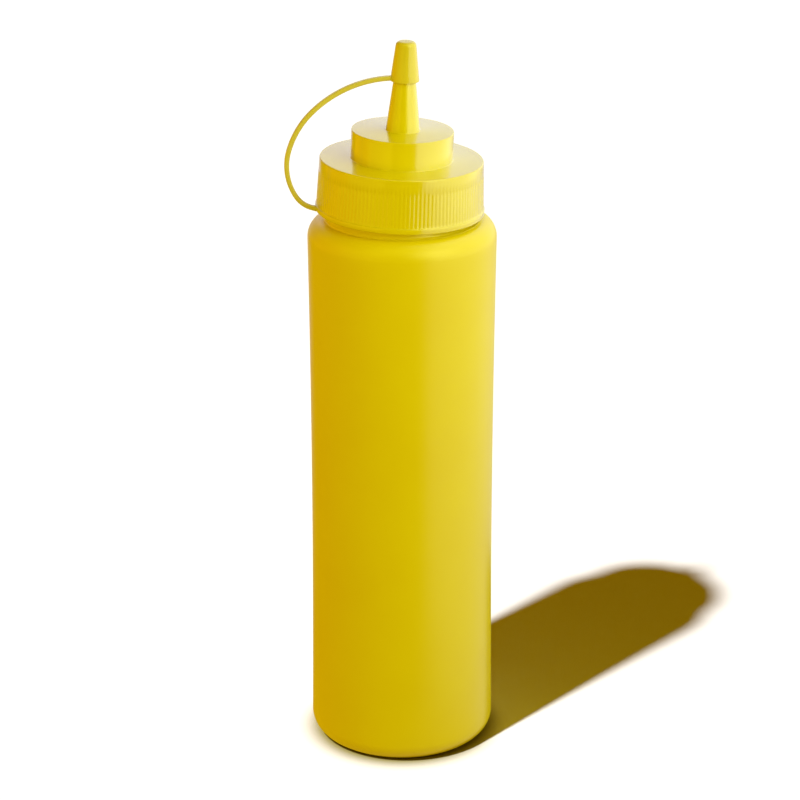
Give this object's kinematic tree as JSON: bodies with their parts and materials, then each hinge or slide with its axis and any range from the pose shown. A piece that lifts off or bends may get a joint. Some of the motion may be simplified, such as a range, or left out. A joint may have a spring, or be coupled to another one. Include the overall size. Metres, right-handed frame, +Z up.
{
  "type": "squeeze bottle",
  "caption": "Tall round squeeze bottle with a ribbed screw lid, a stepped crown, a cone nozzle and a tip cap held by a looped strap.",
  "frame": {"origin": "centre of the ring that the base stands on, on the bottle's axis", "axes": "+Z up along the bottle's axis, -X towards the tether's loop"},
  "size_m": [0.0757, 0.068, 0.2665],
  "materials": {
    "bottle": "soft satin, blow moulded",
    "lid": "smooth gloss, injection moulded",
    "tip_cap": "smooth gloss, injection moulded"
  },
  "bodies": {
    "root": {"bottle": "bottle", "lid": "lid", "tip_cap": "tip_cap"}
  },
  "joints": []
}
